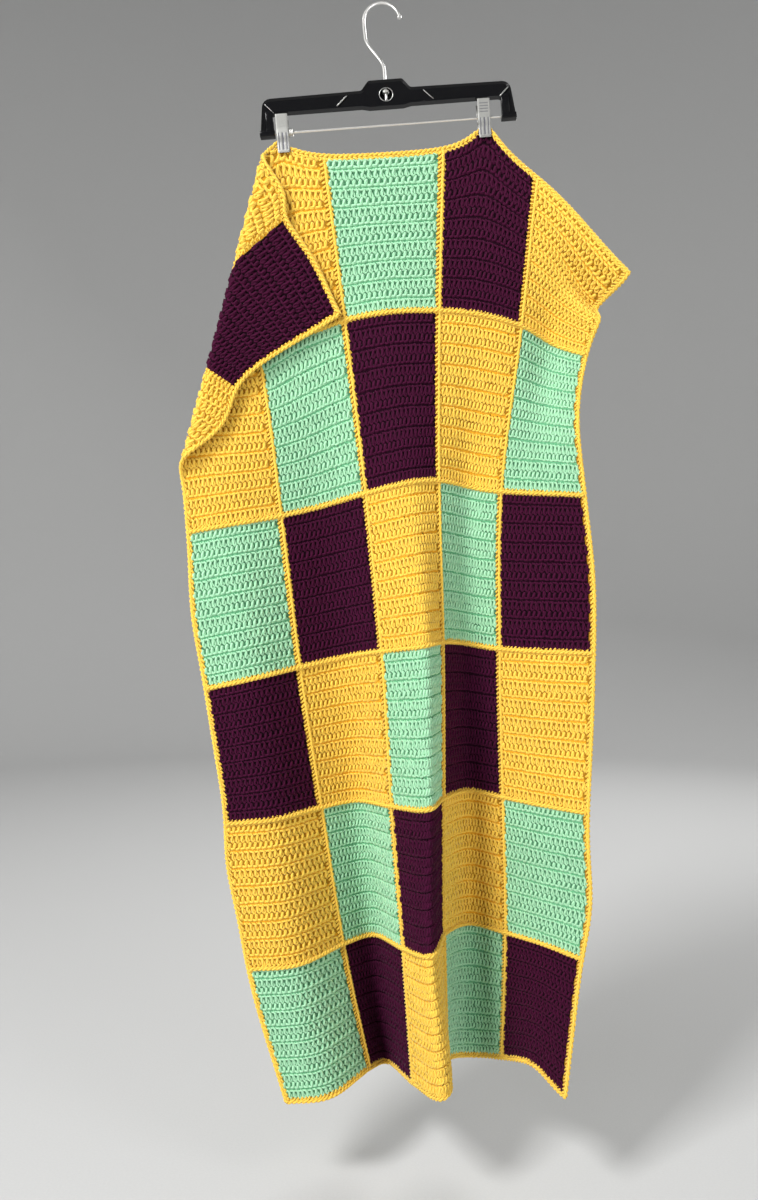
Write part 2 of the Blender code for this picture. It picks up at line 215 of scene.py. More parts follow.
@dataclass(frozen=True)
class HungCloth:
    """Middle surface of the hung blanket, its top left corner turned over to the front."""

    fold_top: tuple[float, float] = (-0.1565, -0.2030)
    fold_foot: tuple[float, float] = (-0.2756, -0.6586)
    fold_radius: float = 0.009
    flap_clearance: float = 0.0105
    flap_settle: float = 0.050
    plumb_start: float = 1.0
    crest_reach: float = 0.35
    step: float = 0.002
    jaw_half: float = CLIP_WIDTH / 2
    jaw_foot: float = ROD_Z - 0.029
    jaw_fade: float = 0.007
    jaw_squeeze: float = 0.40
    jaw_press: float = 0.62
    square_area: float = 0.030
    girth_limits: tuple[float, float] = (0.88, 1.25)
    solid_steps: tuple[int, int] = (5, 4)

    def laid(self, u: Array, v: Array) -> Array:
        """The cloth before it hangs plumb and before its corner is turned over.

        Args:
            u: Squares across.
            v: Squares down.

        Returns:
            Points read from the tables, less each peak's exponential fall, whose tip is sharp at the top edge
            and blunter below it, plus each pull's bell.
        """
        x = table_value(ACROSS, u, v) * MM
        fall = table_value(FALL, u, v) * MM
        front = table_value(FRONT, u, v, 2, True) * MM
        lean = table_value(np.stack([CREST, CREST], 1), np.zeros_like(v), v) * MM
        x = x + lean * np.exp(-((u - SQUARES_ACROSS / 2) / self.crest_reach) ** 2)
        for peak in PEAKS:
            blunt = peak.spread * np.maximum(v, 0)
            aside = np.hypot(u - peak.at, blunt) - blunt
            fall = fall - peak.lift * np.exp(-aside / peak.along - v / peak.down)
        for pull in PULLS:
            near = np.exp(-((u - pull.at[0]) / pull.reach[0]) ** 2 - ((v - pull.at[1]) / pull.reach[1]) ** 2)
            x = x + pull.shift[0] * near
            front = front + pull.shift[1] * near
            fall = fall + pull.shift[2] * near
        return np.stack([x, -front, -fall], -1)

    def plumb(self, v: Array) -> Array:
        """How strongly the cloth is drawn back under the hook: v squared over the sum of v and a start."""
        return v * v / (v + self.plumb_start)

    def plumb_shift(self) -> float:
        """Metres of draw that bring the cloth's mean under the hook, taken at the stops its solid has."""
        across, down = (np.append((np.arange(squares)[:, None] + square_stops(steps)).ravel(), squares)
                        for squares, steps in zip((SQUARES_ACROSS, SQUARES_DOWN), self.solid_steps))
        u, v = (g.ravel() for g in np.meshgrid(across, down))
        return float(-self.laid(u, v)[:, 1].mean() / self.plumb(v).mean())

    def at(self, u: Array, v: Array) -> Array:
        """Points of the hung middle surface.

        What lies beyond the fold line goes round half a turn of the fold's radius, and past that runs back
        flat to the front, settling towards the cloth by a falling exponential.

        Args:
            u: Squares across.
            v: Squares down.

        Returns:
            Points in metres.
        """
        points = self.laid(u, v)
        points[..., 1] += self.plumb(v) * PLUMB_SHIFT
        top, foot = np.array(self.fold_top), np.array(self.fold_foot)
        down = (foot - top) / np.linalg.norm(foot - top)
        outward = np.array([down[1], -down[0]])
        centre = top - outward * self.fold_radius
        beyond = np.maximum((points[..., 0::2] - centre) @ outward, 0)
        half_turn = math.pi * self.fold_radius
        past = np.maximum(beyond - half_turn, 0)
        turn = np.minimum(beyond, half_turn) / self.fold_radius
        settled = (self.flap_clearance - 2 * self.fold_radius) * (1 - np.exp(-past / self.flap_settle))
        points[..., 1] -= self.fold_radius * (1 - np.cos(turn)) + settled
        place = self.fold_radius * np.sin(turn) - past
        points[..., 0::2] += (place - beyond)[..., None] * outward
        return points

    def grip(self, points: Array) -> Array:
        """How firmly the clips' jaws press the cloth: one under a jaw, fading to zero round it."""
        c, s = math.cos(TILT), math.sin(TILT)
        across = points[..., 0] * c + points[..., 2] * s
        height = points[..., 2] * c - points[..., 0] * s
        inside = smooth_step(height, self.jaw_foot - self.jaw_fade, self.jaw_foot)
        pressed = np.zeros(points.shape[:-1])
        for at in CLIP_AT.values():
            beside = smooth_step(np.abs(across - at), self.jaw_half, self.jaw_half + self.jaw_fade)
            pressed = np.maximum(pressed, 1 - beside)
        return pressed * inside

    def off(self, u: Array, v: Array, height: Array) -> tuple[Array, Array, Array]:
        """Points that stand off the middle surface along its normal, pressed flat under the clips.

        The normal is the step down the cloth crossed with the step across it, and the yarn is as much thicker
        as the root of the stretch in area, within limits.

        Args:
            u: Squares across.
            v: Squares down.
            height: Distance to the front of the surface, in metres.

        Returns:
            The points, the surface's unit normals, and the yarn's thickness there as a share of its own.
        """
        e = self.step
        point = self.at(u, v)
        cross = np.cross(self.at(u, v + e) - self.at(u, v - e), self.at(u + e, v) - self.at(u - e, v))
        area = np.linalg.norm(cross, axis=-1) / (2 * e) ** 2
        grip = self.grip(point)
        stretch = np.clip(np.sqrt(area / self.square_area), *self.girth_limits)
        girth = (1 - self.jaw_squeeze * grip) * (1 + (stretch - 1) * (1 - grip))
        flat = height * (1 - self.jaw_press * grip)
        return point + unit(cross) * flat[..., None], unit(cross), girth


def square_stops(inner: int) -> Array:
    """Stops across one square of the solid, inner steps between two ridges, its far side left out."""
    ridge = 0.05
    return np.append(0.0, ridge + (1 - 2 * ridge) * np.arange(inner + 1) / inner)


CLOTH = HungCloth()
PLUMB_SHIFT = CLOTH.plumb_shift()


def tubes(paths: Array, radii: Array, normals: Array, sides: int = 5, closed: bool = False) -> Patch:
    """Round strands carried along paths, closed at their ends.

    Each ring is the path's point plus radius times (side cos a + up sin a), where side is the tangent crossed
    with the surface's normal and up is side crossed with the tangent.

    Args:
        paths: Points of each strand, shaped (strands, points, 3).
        radii: Radius at each point, shaped (strands, points).
        normals: A direction at each point that the strand doesn't run along.
        sides: Sides of the ring.
        closed: Whether each path's last point is its first, so that the strand is a ring with no ends.

    Returns:
        Points, faces, and for each face corner the metres along the strand and the share of a turn round it.
    """
    count, steps = paths.shape[:2]
    tangent = np.gradient(paths, axis=1)
    if closed:
        tangent[:, 0] = tangent[:, -1] = paths[:, 1] - paths[:, -2]
    tangent = unit(tangent)
    side = unit(np.cross(tangent, normals))
    up = np.cross(side, tangent)
    angle = 2 * math.pi * np.arange(sides) / sides
    ring = side[:, :, None] * np.cos(angle)[:, None] + up[:, :, None] * np.sin(angle)[:, None]
    points = paths[:, :, None] + ring * radii[:, :, None, None]
    length = np.cumsum(np.linalg.norm(np.diff(paths, axis=1, prepend=paths[:, :1]), axis=-1), axis=1)
    strand, step, k = np.meshgrid(np.arange(count), np.arange(steps - 1), np.arange(sides), indexing="ij")
    following = (k + 1) % sides
    near = (strand * steps + step) * sides
    far = near + sides
    quads = np.stack([near + k, far + k, far + following, near + following], -1)
    here, ahead = length[strand, step], length[strand, step + 1]
    around = (k / sides, k / sides, (k + 1) / sides, (k + 1) / sides)
    uv = np.stack([np.stack([here, ahead, ahead, here], -1), np.stack(around, -1)], -1)
    faces, uvs = [quads.reshape(-1, 4)], [uv.reshape(-1, 4, 2)]
    if not closed:
        first = np.arange(count)[:, None] * steps * sides + np.arange(sides)
        last = first[:, ::-1] + (steps - 1) * sides
        faces.append(np.concatenate([first, last]))
        uvs.append(np.zeros((2 * count, sides, 2)))
    return points.reshape(-1, 3), faces, uvs


def joined(patches: list[Patch]) -> Patch:
    """Several patches as one, the corner numbers of each moved on by the points before it."""
    points, faces, uvs, start = [], [], [], 0
    for patch_points, patch_faces, patch_uvs in patches:
        points.append(patch_points)
        faces += [f + start for f in patch_faces]
        uvs += patch_uvs
        start += len(patch_points)
    return np.concatenate(points), faces, uvs


def add_piece(name: str, patch: Patch, material: bpy.types.Material, body: str) -> bpy.types.Object:
    """Make a smooth mesh object from a patch, dress it and let it ride on a body.

    Args:
        name: The object's name.
        patch: Its points, faces and face corners' pattern coordinates.
        material: Its finish.
        body: The body that it rides on.

    Returns:
        The object.
    """
    points, faces, uvs = patch
    mesh = bpy.data.meshes.new(name)
    corners = np.concatenate([f.ravel() for f in faces]).astype(np.int32)
    sizes = np.concatenate([np.full(len(f), f.shape[1]) for f in faces])
    mesh.vertices.add(len(points))
    mesh.vertices.foreach_set("co", points.astype(np.float32).ravel())
    mesh.loops.add(len(corners))
    mesh.loops.foreach_set("vertex_index", corners)
    mesh.polygons.add(len(sizes))
    mesh.polygons.foreach_set("loop_start", (np.cumsum(sizes) - sizes).astype(np.int32))
    layer = mesh.uv_layers.new(name="strand")
    layer.data.foreach_set("uv", np.concatenate([w.reshape(-1, 2) for w in uvs]).astype(np.float32).ravel())
    mesh.update(calc_edges=True)
    mesh.shade_smooth()
    mesh.materials.append(material)
    piece = bpy.data.objects.new(name, mesh)
    bpy.context.scene.collection.objects.link(piece)
    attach(piece, body)
    LOG.info("%s: %d points, %d faces", name, len(points), len(sizes))
    return piece


class Nodes:
    """A new material's node tree, with a short call for a node and one for a sum."""

    def __init__(self, name: str) -> None:
        """Start a material with only its Principled shader and output."""
        self.material = bpy.data.materials.new(name)
        self.material.use_nodes = True
        self.tree = self.material.node_tree
        self.shader = self.tree.nodes["Principled BSDF"]

    def add(self, kind: str, inputs: dict[Any, Any] | None = None, **settings: Any) -> bpy.types.Node:
        """Add a node, set its fields, and set or link its inputs.

        Args:
            kind: The node's type, without the word ShaderNode.
            inputs: Values or output sockets by input name or number.
            **settings: The node's own fields.

        Returns:
            The node.
        """
        node = self.tree.nodes.new("ShaderNode" + kind)
        for key, value in settings.items():
            setattr(node, key, value)
        self.feed(node, inputs or {})
        return node

    def feed(self, node: bpy.types.Node, inputs: dict[Any, Any]) -> None:
        """Set or link a node's inputs, given as values or output sockets by input name or number."""
        for key, value in inputs.items():
            if isinstance(value, bpy.types.NodeSocket):
                self.tree.links.new(value, node.inputs[key])
            else:
                node.inputs[key].default_value = value

    def math(self, operation: str, *values: Any) -> bpy.types.NodeSocket:
        """Output socket of a Math node, fed with numbers or sockets."""
        return self.add("Math", dict(enumerate(values)), operation=operation).outputs[0]

    def mix(self, share: Any, low: Any, high: Any) -> bpy.types.NodeSocket:
        """Socket of a mix of two colours, share of the second, each a value or a socket."""
        return self.add("Mix", {0: share, 6: low, 7: high}, data_type="RGBA").outputs[2]


def linear(red: int, green: int, blue: int) -> tuple[float, float, float, float]:
    """A screen colour, 0 to 255, as linear light: c / 12.92 to 0.04045, else ((c + 0.055) / 1.055) ** 2.4."""
    share = [c / 255 for c in (red, green, blue)]
    light = [c / 12.92 if c <= 0.04045 else ((c + 0.055) / 1.055) ** 2.4 for c in share]
    return (*light, 1.0)


@dataclass(frozen=True)
class YarnFinish:
    """Soft plied acrylic yarn: plies wound round the strand with painted shade between them, fibres that
    break up the light, uneven dye.
    """

    name: str
    colour: tuple[float, float, float, float]
    # Darker colour painted between the plies, and deep between the stitches, as shade
    groove_shade: tuple[float, float, float, float]
    plies: float = 3.0
    twist: float = 0.011
    sheen: float = 0.25

    def material(self) -> bpy.types.Material:
        """Material with colour and bump from the strand's pattern coordinates and Object coordinates, the
        colour mixed to the darker one between the plies as painted shade.
        """
        n = Nodes(self.name)
        strand = n.add("SeparateXYZ", {0: n.add("UVMap", uv_map="strand").outputs[0]})
        place = n.add("TexCoord").outputs["Object"]
        turns = n.math("ADD", n.math("DIVIDE", strand.outputs[0], self.twist),
                       n.math("MULTIPLY", strand.outputs[1], self.plies))
        ply = n.math("ABSOLUTE", n.math("SINE", n.math("MULTIPLY", turns, math.pi)))
        fibre = n.add("TexNoise", {"Vector": place, "Scale": 1500.0, "Detail": 3.0, "Roughness": 0.7})
        dye = n.add("TexNoise", {"Vector": place, "Scale": 60.0, "Detail": 2.0, "Roughness": 0.6})
        broad = n.add("TexNoise", {"Vector": place, "Scale": 7.0, "Detail": 2.0})
        # Share of the own colour: low between the plies, where the darker painted shade colour shows
        light = n.math("ADD", n.math("MULTIPLY", n.math("POWER", ply, 0.6), 0.66),
                       n.math("MULTIPLY", fibre.outputs[0], 0.34))
        colour = n.mix(light, self.groove_shade, self.colour)
        tone = n.math("ADD", n.math("MULTIPLY", dye.outputs[0], 0.22),
                      n.math("MULTIPLY", broad.outputs[0], 0.16))
        value = n.add("HueSaturation", {"Value": n.math("ADD", tone, 0.84), "Color": colour})
        height = n.math("ADD", ply, n.math("MULTIPLY", fibre.outputs[0], 0.5))
        bump = n.add("Bump", {"Strength": 0.55, "Distance": 0.0006, "Height": height})
        n.feed(n.shader, {"Base Color": value.outputs[0], "Roughness": 0.88, "Normal": bump.outputs[0],
                          "Sheen Weight": self.sheen, "Sheen Roughness": 0.45,
                          "Specular IOR Level": 0.15})
        return n.material


@dataclass(frozen=True)
class GroundFinish:
    """Thin ground cloth in darker copies of the yarns' colours, painted shade seen only deep between the
    stitches.
    """

    name: str = "ground_painted_shade"
    top: float = 0.014
    pairs: float = 8.3
    first: float = 0.47
    lift: float = 1.0

    def material(self) -> bpy.types.Material:
        """Material in the painted shade colours of the squares, the painted shade lifted in the grooves
        between pairs of rows, finely ribbed.
        """
        n = Nodes(self.name)
        place = n.add("TexCoord").outputs["Object"]
        yarn = n.add("Attribute", attribute_name="painted_shade_colour", attribute_type="GEOMETRY")
        square = n.add("SeparateXYZ", {0: n.add("UVMap", uv_map="strand").outputs[0]})
        down = n.math("SUBTRACT", n.math("FRACT", square.outputs[1]), self.top)
        pair = n.math("MULTIPLY", down, self.pairs)
        from_groove = n.math("PINGPONG", n.math("SUBTRACT", pair, self.first), 0.5)
        groove_shade = n.add("MapRange", {"Value": from_groove, "From Min": 0.06, "From Max": 0.10,
                                    "To Min": self.lift, "To Max": 0.0})
        raised = n.math("ADD", n.math("MULTIPLY", groove_shade.outputs[0], yarn.outputs["Alpha"]), 1.0)
        fibre = n.add("TexNoise", {"Vector": place, "Scale": 900.0, "Detail": 3.0})
        rib = n.add("TexWave", {"Vector": place, "Scale": 80.0, "Distortion": 2.0}, bands_direction="Z")
        tone = n.math("MULTIPLY", raised, n.math("ADD", n.math("MULTIPLY", fibre.outputs[0], 0.5), 0.7))
        value = n.add("HueSaturation", {"Value": tone, "Color": yarn.outputs["Color"]})
        bump = n.add("Bump", {"Strength": 0.5, "Distance": 0.0006, "Height": rib.outputs["Fac"]})
        n.feed(n.shader, {"Base Color": value.outputs[0], "Roughness": 0.95, "Normal": bump.outputs[0],
                          "Specular IOR Level": 0.1})
        return n.material


@dataclass(frozen=True)
class PlasticFinish:
    """Gloss black moulding with faint flow marks and rubbed patches."""

    name: str = "black_moulding"
    colour: tuple[float, float, float, float] = (0.003, 0.003, 0.0035, 1.0)
    mirror: float = 0.0
    roughness: float = 0.06

    def material(self) -> bpy.types.Material:
        """Material with roughness and bump from two noises on Object coordinates."""
        n = Nodes(self.name)
        place = n.add("TexCoord").outputs["Object"]
        flow = n.add("TexNoise", {"Vector": place, "Scale": 45.0, "Detail": 4.0, "Roughness": 0.6})
        grain = n.add("TexNoise", {"Vector": place, "Scale": 1400.0, "Detail": 2.0})
        rough = n.math("ADD", n.math("MULTIPLY", flow.outputs[0], 0.14), self.roughness)
        height = n.math("ADD", flow.outputs[0], n.math("MULTIPLY", grain.outputs[0], 0.15))
        bump = n.add("Bump", {"Strength": 0.25, "Distance": 0.0008, "Height": height})
        tint = n.mix(grain.outputs[0], self.colour, tuple(2 * c for c in self.colour[:3]) + (1.0,))
        n.feed(n.shader, {"Base Color": tint, "Roughness": rough, "Normal": bump.outputs[0],
                          "Metallic": self.mirror, "Specular IOR Level": 0.22})
        return n.material


@dataclass(frozen=True)
class SteelFinish:
    """Plated steel, drawn along its length, with a slightly cloudy coat and painted shade in its grooves."""

    name: str
    colour: tuple[float, float, float, float]
    roughness: float
    # Colour painted as shade in the grooves
    groove_shade: tuple[float, float, float, float] = (0.10, 0.10, 0.13, 1.0)

    def material(self) -> bpy.types.Material:
        """Metal with streaks and cloudy patches, darkened as painted shade in the grooves that the pattern
        coordinates give.
        """
        n = Nodes(self.name)
        groove_shade = n.add("SeparateXYZ", {0: n.add("UVMap", uv_map="strand").outputs[0]})
        place = n.add("TexCoord").outputs["Object"]
        drawn = n.add("Mapping", {"Vector": place, "Scale": (300.0, 2500.0, 2500.0)})
        streak = n.add("TexNoise", {"Vector": drawn.outputs[0], "Scale": 1.0, "Detail": 3.0})
        cloud = n.add("TexNoise", {"Vector": place, "Scale": 130.0, "Detail": 3.0})
        rough = n.math("ADD", n.math("MULTIPLY", cloud.outputs[0], 0.22), self.roughness - 0.10)
        dull = n.mix(cloud.outputs[0], self.colour, tuple(c * 0.8 for c in self.colour[:3]) + (1.0,))
        deep = n.add("MapRange", {"Value": groove_shade.outputs[0], "From Min": 0.3, "From Max": 1.0,
                                  "To Max": 0.85})
        shade = n.mix(deep.outputs[0], dull, self.groove_shade)
        bump = n.add("Bump", {"Strength": 0.15, "Distance": 0.0002, "Height": streak.outputs[0]})
        n.feed(n.shader, {"Base Color": shade, "Metallic": 1.0, "Roughness": rough,
                          "Normal": bump.outputs[0]})
        return n.material


@dataclass(frozen=True)
class Rope:
    """Two strands wound round each other: their radius, distance from the line, full turn, and height."""

    radius: float
    spread: float
    pitch: float
    raised: float


@dataclass
class Blanket:
    """Thirty crocheted squares, their yellow rounds, the ropes over the seams, and the ground cloth of
    painted shade.
    """

    stitches: int = 18
    rows: int = 16
    strand: float = 0.0020
    border: dict[Side, float] = field(default_factory=lambda: {
        Side.LEFT: 0.022, Side.RIGHT: 0.046, Side.TOP: 0.014, Side.BOTTOM: 0.022})
    outer_border: float = 0.026
    round_stitches: dict[Side, int] = field(default_factory=lambda: {
        Side.LEFT: 30, Side.RIGHT: 36, Side.TOP: 24, Side.BOTTOM: 24})
    round_strand: float = 0.0016
    ground_half: float = 0.0004
    ground_steps: int = 8
    corner_steps: tuple[tuple[int, int], tuple[int, int]] = ((18, 14), (18, 18))
    # Brightness of the ground's painted shade in each yarn's slits, as a share of the yarn's darker colour
    slit_painted_shade: dict[Wool, float] = field(default_factory=lambda: {
        Wool.PURPLE: 0.75, Wool.YELLOW: 0.54, Wool.MINT: 0.46})
    # Brightness of the painted shade on the ground's back
    back_light: float = 0.75
    uneven: tuple[float, float, float] = (0.035, 0.035, 0.00018)
    level_rope: Rope = Rope(0.0019, 0.0016, 0.0125, 0.0022)
    upright_rope: Rope = Rope(0.0016, 0.0012, 0.0140, 0.0016)
    edge_rope: Rope = Rope(0.0020, 0.0017, 0.0135, 0.0)
    level_points: int = 361
    upright_points: int = 301
    edge_points: tuple[int, int] = (360, 300)
    edge_out: float = 0.012
    pieces: list[bpy.types.Object] = field(default_factory=list)

    # Stitch that faces the viewer below each groove, the one that stands on the groove, and the edging above
    # the first row: share of the stitch across, share of the row down, millimetres in front of the middle
    # surface and thickness as a share of the strand's
    HOOKED = ((0.04, 0.22, 0.3, 0.85), (0.34, 0.14, 0.7, 0.95), (0.62, 0.27, 0.8, 1.05),
              (0.58, 0.52, 0.6, 1.25), (0.46, 0.84, 0.2, 1.10), (0.76, 1.10, 0.5, 0.85),
              (1.06, 0.88, 0.2, 0.80), (0.72, 0.46, -1.3, 1.20), (0.76, -0.02, -1.2, 1.05))
    POSTED = ((-0.06, 0.74, 0.3, 1.25), (0.04, 0.42, 0.3, 1.36), (0.14, 0.12, 0.0, 1.15),
              (0.18, 0.22, -1.3, 1.15), (0.10, 0.66, -1.3, 1.20), (0.44, 0.80, 0.1, 1.15))
    FIRST = ((0.28, -0.04, 0.3, 0.7), (0.62, 0.14, 0.5, 0.7), (0.94, 0.00, 0.3, 0.7))

    # Round's strand: share of the stitch along, share of the round inward, and millimetres in front
    LADDER = ((0.10, 0.10, 0.6), (0.42, 0.55, 1.0), (0.70, 1.00, 0.6), (0.74, 0.80, -1.0), (0.66, 0.30, -1.0))

    def wool(self, column: int, row: int) -> Wool:
        """Yarn of a square: the three follow each other along every row and down every column."""
        return Wool((column + row) % len(Wool))

    def margins(self, column: int) -> dict[Side, float]:
        """Width of each side's yellow round as a share of the square."""
        widths = dict(self.border)
        if column == 0:
            widths[Side.LEFT] = self.outer_border
        if column == SQUARES_ACROSS - 1:
            widths[Side.RIGHT] = self.outer_border
        return widths

    def stitch_rows(self, column: int, row: int, random: np.random.Generator) -> Patch:
        """All rows of one square, each one strand that goes through its stitches from left to right.

        A point lies at left + width (stitch + a) / stitches across and top + height (row + b) / rows down,
        where a and b are its shares in the stitch, and its height is along the surface's normal.

        Args:
            column: Column, from the left.
            row: Row, from the top.
            random: Source of the hand's unevenness.

        Returns:
            The strands.
        """
        edge = self.margins(column)
        width = 1 - edge[Side.LEFT] - edge[Side.RIGHT]
        tall = 1 - edge[Side.TOP] - edge[Side.BOTTOM]
        patches = []
        kinds = ((self.FIRST, 0, 1), (self.POSTED, 0, self.rows), (self.HOOKED, 1, self.rows))
        for points, first, last in kinds:
            stitch = np.array(points)
            courses = np.arange(first, last, 2)
            shift = random.normal(0, 1, (len(courses), self.stitches, len(stitch), 3)) * self.uneven
            across = np.arange(self.stitches)[:, None] + stitch[:, 0] + shift[..., 0]
            thick = np.broadcast_to(stitch[:, 3], across.shape).reshape(len(courses), -1)
            down = courses[:, None, None] + stitch[:, 1] + shift[..., 1]
            height = stitch[:, 2] * MM + shift[..., 2]
            u = column + edge[Side.LEFT] + width * across.reshape(len(courses), -1) / self.stitches
            v = row + edge[Side.TOP] + tall * down.reshape(len(courses), -1) / self.rows
            path, normal, girth = CLOTH.off(u, v, height.reshape(len(courses), -1))
            patches.append(tubes(path, self.strand * girth * thick, normal))
        return joined(patches)

    def round_side(self, column: int, row: int, side: Side, random: np.random.Generator) -> Patch:
        """One side of a square's yellow round: a strand that goes to and fro between the seam and the square.

        Args:
            column: Column, from the left.
            row: Row, from the top.
            side: Which side.
            random: Source of the hand's unevenness.

        Returns:
            The strand.
        """
        width = self.margins(column)[side]
        ladder = np.array(self.LADDER)
        count = self.round_stitches[side]
        shift = random.normal(0, 1, (count, len(ladder), 3)) * self.uneven
        along = (np.arange(count)[:, None] + ladder[:, 0] + shift[..., 0]) / count
        inward = (ladder[:, 1] + shift[..., 1]) * width
        height = ladder[:, 2] * MM + shift[..., 2]
        along, inward, height = along.reshape(1, -1), inward.reshape(1, -1), height.reshape(1, -1)
        places = {
            Side.LEFT: (inward, along),
            Side.RIGHT: (1 - inward, along),
            Side.TOP: (along, inward),
            Side.BOTTOM: (along, 1 - inward),
        }
        s, t = places[side]
        path, normal, girth = CLOTH.off(column + s, row + t, height)
        return tubes(path, self.round_strand * girth, normal)

    def wound(self, u: Array, v: Array, rope: Rope, closed: bool = False) -> Patch:
        """Two strands wound round each other along a line on the cloth.

        A strand's point is the line's point plus spread times (side cos a + normal sin a), where a grows by a
        full turn with each pitch and the second strand is half a turn behind.

        Args:
            u: Squares across along the line.
            v: Squares down along the line.
            rope: The rope's sizes.
            closed: Whether the line's last point is its first.

        Returns:
            The two strands.
        """
        line, normal, girth = CLOTH.off(u, v, np.full(u.shape, rope.raised))
        girth = np.minimum(girth, 1.0)
        side = unit(np.cross(np.gradient(line, axis=0), normal))
        length = np.cumsum(np.linalg.norm(np.diff(line, axis=0, prepend=line[:1]), axis=-1))
        pitch = length[-1] / round(length[-1] / rope.pitch) if closed else rope.pitch
        turn = 2 * math.pi * length / pitch + np.array([[0.0], [math.pi]])
        aside = np.cos(turn)[..., None] * side + np.sin(turn)[..., None] * normal
        path = line + aside * (rope.spread * girth)[:, None]
        radii = np.broadcast_to(rope.radius * girth, turn.shape)
        return tubes(path, radii, np.broadcast_to(normal, path.shape), closed=closed)

    def ground_stops(self, squares: int, near: float, far: float, fine: tuple[int, ...]) -> Array:
        """Stops of the ground cloth along one direction, with one at the inner edge of each round.

        Args:
            squares: Number of squares.
            near: Width of the round where a square begins, as a share of it.
            far: Width of the round where it ends.
            fine: Steps inside each of the first squares, where the corner is turned over.
        """
        counts = list(fine) + [self.ground_steps] * (squares - len(fine))
        parts = [k + np.append(0.0, np.linspace(near, 1 - far, n + 1)) for k, n in enumerate(counts)]
        return np.append(np.concatenate(parts), squares)

    def ground(self) -> Patch:
        """Thin closed cloth behind the stitches, its steps finer round the turned corner."""
        border, (fine_across, fine_down) = self.border, self.corner_steps
        across = self.ground_stops(SQUARES_ACROSS, border[Side.LEFT], border[Side.RIGHT], fine_across)
        down = self.ground_stops(SQUARES_DOWN, border[Side.TOP], border[Side.BOTTOM], fine_down)
        wide, tall = len(across), len(down)
        u, v = np.meshgrid(across, down)
        front = CLOTH.off(u, v, np.full(u.shape, self.ground_half))[0].reshape(-1, 3)
        back = CLOTH.off(u, v, np.full(u.shape, -self.ground_half))[0].reshape(-1, 3)
        j, i = (g.ravel() for g in np.meshgrid(np.arange(tall - 1), np.arange(wide - 1), indexing="ij"))
        at = j * wide + i
        faces = np.stack([at, at + wide, at + wide + 1, at + 1], -1)
        other = faces[:, ::-1] + wide * tall
        bottom = np.arange(wide) + (tall - 1) * wide
        left, right = np.arange(tall) * wide, np.arange(tall) * wide + wide - 1
        loop = np.concatenate([left[:-1], bottom[:-1], right[:0:-1], np.arange(wide - 1, 0, -1)])
        ahead = np.roll(loop, -1)
        rim = np.stack([ahead, loop, loop + wide * tall, ahead + wide * tall], -1)
        quads = np.concatenate([faces, other, rim])
        flat = np.stack([u.ravel(), v.ravel()], -1)
        uv = np.concatenate([flat, flat])[quads]
        return np.concatenate([front, back]), [quads], [uv]

    def build(self, yarns: dict[Wool, YarnFinish], ground: GroundFinish) -> None:
        """Make every piece of the blanket, its ground cloth last, and hide the blanket's solid."""
        random = np.random.default_rng(SEED)
        dressed = {wool: finish.material() for wool, finish in yarns.items()}
        yellow = dressed[Wool.YELLOW]
        for row in range(SQUARES_DOWN):
            for column in range(SQUARES_ACROSS):
                place = f"row{row + 1}_column{column + 1}"
                stitches = self.stitch_rows(column, row, random)
                material = dressed[self.wool(column, row)]
                self.pieces.append(add_piece(f"square_{place}", stitches, material, "hanger"))
                sides = joined([self.round_side(column, row, side, random) for side in Side])
                self.pieces.append(add_piece(f"round_{place}", sides, yellow, "hanger"))
        level = np.linspace(0, SQUARES_ACROSS, self.level_points)
        upright = np.linspace(0, SQUARES_DOWN, self.upright_points)
        for k in range(1, SQUARES_DOWN):
            seam = self.wound(level, np.full(level.shape, float(k)), self.level_rope)
            self.pieces.append(add_piece(f"level_seam_{k}", seam, yellow, "hanger"))
        for k in range(1, SQUARES_ACROSS):
            seam = self.wound(np.full(upright.shape, float(k)), upright, self.upright_rope)
            self.pieces.append(add_piece(f"upright_seam_{k}", seam, yellow, "hanger"))
        low, right, bottom = -self.edge_out, SQUARES_ACROSS + self.edge_out, SQUARES_DOWN + self.edge_out
        down, along = self.edge_points
        u = np.concatenate([np.full(down, low), np.linspace(low, right, along)[:-1],
                            np.full(down - 1, right), np.linspace(right, low, along)])
        v = np.concatenate([np.linspace(low, bottom, down + 1)[:-1], np.full(along - 1, bottom),
                            np.linspace(bottom, low, down)[:-1], np.full(along, low)])
        edge = self.wound(u, v, self.edge_rope, closed=True)
        self.pieces.append(add_piece("outer_edge", edge, yellow, "hanger"))
        self.build_ground(yarns, ground)

    def build_ground(self, yarns: dict[Wool, YarnFinish], finish: GroundFinish) -> None:
        patch = self.ground()
        ground = add_piece("ground_cloth", patch, finish.material(), "hanger")
        centre = patch[2][0].mean(axis=1)
        square = np.clip(np.floor(centre).astype(int), 0, (SQUARES_ACROSS - 1, SQUARES_DOWN - 1))
        inside = centre - square
        near = (self.border[Side.LEFT], self.border[Side.TOP])
        far = (self.border[Side.RIGHT], self.border[Side.BOTTOM])
        in_round = ((inside < near) | (inside > 1 - np.array(far))).any(axis=1)
        wool = np.where(in_round, Wool.YELLOW.value, square.sum(axis=1) % len(Wool))
        # The ground's colours are painted shade: each yarn's darker colour, darker still in the slits and on
        # the back, its alpha marking where the grooves lift it
        faces_back = (patch[1][0] >= len(patch[0]) // 2).all(axis=1)
        shade_colours = np.array([yarns[w].groove_shade for w in Wool])[wool]
        slits = np.array([self.slit_painted_shade[w] for w in Wool])[wool]
        shade_colours[:, :3] *= np.where(faces_back, self.back_light, slits)[:, None]
        shade_colours[:, 3] = ~(faces_back | in_round)
        layer = ground.data.attributes.new("painted_shade_colour", "FLOAT_COLOR", "FACE")
        layer.data.foreach_set("color", shade_colours.astype(np.float32).ravel())
        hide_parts("blanket")


